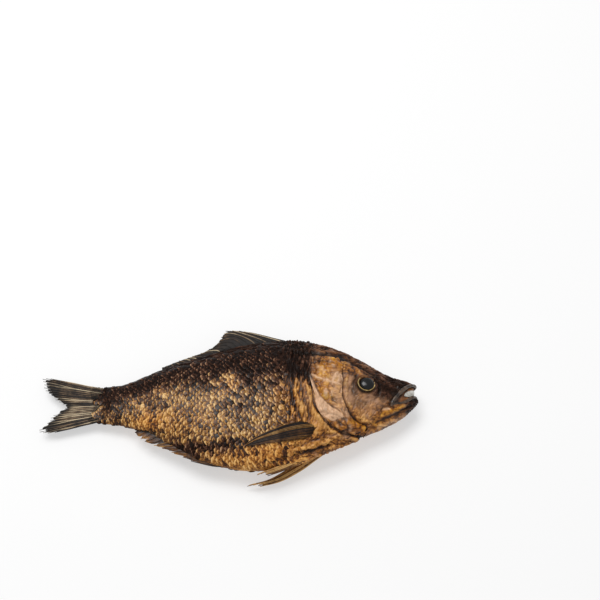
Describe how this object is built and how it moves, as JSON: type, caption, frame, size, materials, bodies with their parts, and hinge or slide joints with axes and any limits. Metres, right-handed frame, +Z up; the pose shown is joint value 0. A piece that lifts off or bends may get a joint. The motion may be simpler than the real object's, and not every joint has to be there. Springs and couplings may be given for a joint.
{
  "type": "smoked fish",
  "caption": "Whole dark-smoked bream lying on its left side: deep scaly body, open gill cover, sunken eye, parted jaws, folded back fin and forked tail.",
  "frame": {"origin": "middle of the fish's box, on the surface that it lies on", "axes": "+X along the body towards the head, +Y across it towards the back, +Z up, the way the right flank faces"},
  "size_m": [0.24, 0.109, 0.0326],
  "materials": {
    "skin": "oily, dark-smoked scaly skin",
    "head_skin": "glossy smoked skin over bone",
    "fin": "dry, charred fin rays",
    "eye": "glossy, dried"
  },
  "bodies": {
    "root": {"body": "skin", "gill_cover_right": "head_skin", "gill_cover_left": "head_skin", "upper_jaw": "head_skin", "lower_jaw": "head_skin", "eye_right": "eye", "eye_left": "eye", "dorsal_fin": "fin", "anal_fin": "fin", "tail_fin": "fin", "pectoral_fin_right": "fin", "pectoral_fin_left": "fin", "pelvic_fin_right": "fin", "pelvic_fin_left": "fin"}
  },
  "joints": []
}
